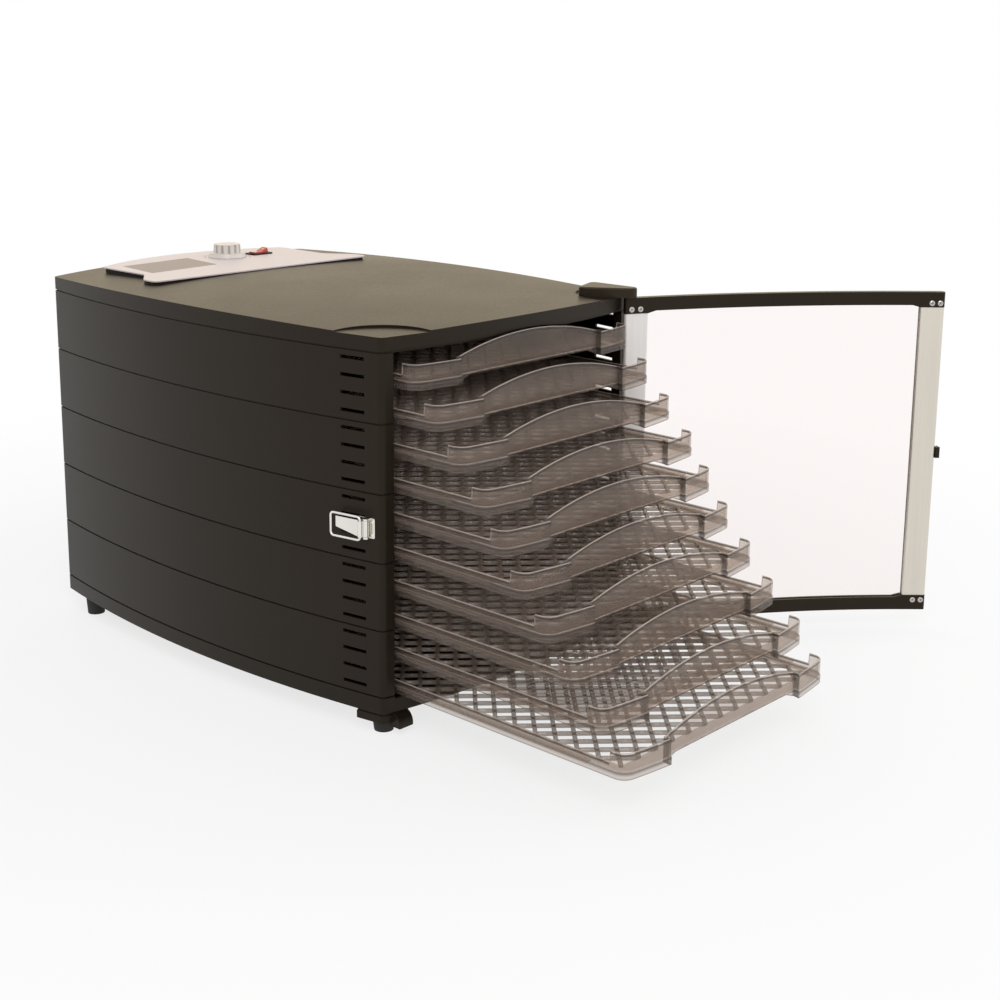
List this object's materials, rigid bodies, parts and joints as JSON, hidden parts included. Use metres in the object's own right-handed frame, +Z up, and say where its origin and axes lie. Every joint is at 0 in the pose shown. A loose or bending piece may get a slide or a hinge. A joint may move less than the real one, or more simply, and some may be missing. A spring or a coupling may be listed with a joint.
{
  "type": "food dehydrator",
  "caption": "Black stacked-band food dehydrator with bowed sides, staggered clear sliding trays, a wide swinging clear door with a draw latch, and a rear fan and heater.",
  "frame": {"origin": "on the worktop under the middle of the cabinet, midway between its four feet across and close to midway along", "axes": "+Z up, -Y out of the open front, +X towards the door hinge side"},
  "size_m": [0.5965, 0.756, 0.3689],
  "materials": {
    "black_plastic": "satin moulded black",
    "smoke_clear": "smoke-tinted clear moulding",
    "clear_panel": "clear polished sheet",
    "aluminium_stile": "brushed extrusion",
    "silver_plate": "satin silver",
    "knob_white": "white moulded",
    "rocker_red": "translucent red",
    "chrome_latch": "bright chrome",
    "steel": "bare steel",
    "heater_steel": "heat-darkened tube",
    "motor_paint": "grey paint",
    "fan_plastic": "moulded",
    "ceramic_white": "pale insulator",
    "foot_rubber": "moulded rubber"
  },
  "bodies": {
    "cabinet": {"band_1": "black_plastic", "band_2": "black_plastic", "band_3": "black_plastic", "band_4": "black_plastic", "band_5": "black_plastic", "base_pan": "black_plastic", "top_cover": "black_plastic", "switch_housing": "black_plastic", "hinge_cap": "black_plastic", "front_bracket_left": "black_plastic", "front_bracket_right": "black_plastic", "rear_baffle": "black_plastic", "thermostat_body": "black_plastic", "control_plate": "silver_plate", "latch_base": "chrome_latch", "latch_pin": "steel", "motor_spider": "steel", "heater_element": "heater_steel", "fan_motor": "motor_paint", "cord_bushing": "foot_rubber", "heater_holder_1": "ceramic_white", "heater_holder_2": "ceramic_white", "heater_holder_3": "ceramic_white", "front_foot_left": "foot_rubber", "front_foot_right": "foot_rubber", "rear_foot_left": "foot_rubber", "rear_foot_right": "foot_rubber"},
    "door": {"door_top_rail": "black_plastic", "door_bottom_rail": "black_plastic", "door_panel": "clear_panel", "door_hinge_stile": "aluminium_stile", "door_handle_stile": "aluminium_stile", "door_catch": "black_plastic", "hinge_pin_upper": "steel", "hinge_pin_lower": "steel"},
    "tray_body_1": {"tray_1": "smoke_clear"},
    "tray_body_2": {"tray_2": "smoke_clear"},
    "tray_body_3": {"tray_3": "smoke_clear"},
    "tray_body_4": {"tray_4": "smoke_clear"},
    "tray_body_5": {"tray_5": "smoke_clear"},
    "tray_body_6": {"tray_6": "smoke_clear"},
    "tray_body_7": {"tray_7": "smoke_clear"},
    "tray_body_8": {"tray_8": "smoke_clear"},
    "tray_body_9": {"tray_9": "smoke_clear"},
    "tray_body_10": {"tray_10": "smoke_clear"},
    "knob": {"thermostat_knob": "knob_white", "thermostat_shaft": "steel"},
    "rocker": {"power_rocker": "rocker_red"},
    "lever": {"latch_lever": "chrome_latch"},
    "bail": {"latch_bail": "chrome_latch"},
    "fan": {"fan_rotor": "fan_plastic", "fan_shaft": "steel"}
  },
  "joints": [
    {"name": "door_hinge", "type": "hinge", "parent": "cabinet", "child": "door", "pos_m": [0.153, -0.248, 0.185], "axis": [0, 0, 1], "range_deg": [-48, 22]},
    {"name": "tray_1_slide", "type": "slide", "parent": "cabinet", "child": "tray_body_1", "axis": [0, -1, 0], "range_m": [-0.02, 0.28]},
    {"name": "tray_2_slide", "type": "slide", "parent": "cabinet", "child": "tray_body_2", "axis": [0, -1, 0], "range_m": [-0.046, 0.254]},
    {"name": "tray_3_slide", "type": "slide", "parent": "cabinet", "child": "tray_body_3", "axis": [0, -1, 0], "range_m": [-0.073, 0.227]},
    {"name": "tray_4_slide", "type": "slide", "parent": "cabinet", "child": "tray_body_4", "axis": [0, -1, 0], "range_m": [-0.1, 0.2]},
    {"name": "tray_5_slide", "type": "slide", "parent": "cabinet", "child": "tray_body_5", "axis": [0, -1, 0], "range_m": [-0.121, 0.179]},
    {"name": "tray_6_slide", "type": "slide", "parent": "cabinet", "child": "tray_body_6", "axis": [0, -1, 0], "range_m": [-0.143, 0.157]},
    {"name": "tray_7_slide", "type": "slide", "parent": "cabinet", "child": "tray_body_7", "axis": [0, -1, 0], "range_m": [-0.169, 0.131]},
    {"name": "tray_8_slide", "type": "slide", "parent": "cabinet", "child": "tray_body_8", "axis": [0, -1, 0], "range_m": [-0.195, 0.105]},
    {"name": "tray_9_slide", "type": "slide", "parent": "cabinet", "child": "tray_body_9", "axis": [0, -1, 0], "range_m": [-0.225, 0.075]},
    {"name": "tray_10_slide", "type": "slide", "parent": "cabinet", "child": "tray_body_10", "axis": [0, -1, 0], "range_m": [-0.248, 0.052]},
    {"name": "thermostat_turn", "type": "hinge", "parent": "cabinet", "child": "knob", "pos_m": [0.024, 0.196, 0.3551], "axis": [0, 0, 1], "range_deg": [-200, 70]},
    {"name": "power_tilt", "type": "hinge", "parent": "cabinet", "child": "rocker", "pos_m": [0.063, 0.191, 0.3557], "axis": [0, 1, 0], "range_deg": [0, 24]},
    {"name": "latch_lever_turn", "type": "hinge", "parent": "cabinet", "child": "lever", "pos_m": [-0.16796, -0.22679, 0.185], "axis": [0, 0, 1], "range_deg": [0, 110]},
    {"name": "latch_bail_swing", "type": "hinge", "parent": "lever", "child": "bail", "pos_m": [-0.17186, -0.22392, 0.185], "axis": [0, 0, -1], "range_deg": [-190, 0]},
    {"name": "fan_spin", "type": "hinge", "parent": "cabinet", "child": "fan", "pos_m": [0, 0.161, 0.184], "axis": [0, 1, 0], "continuous": true}
  ]
}
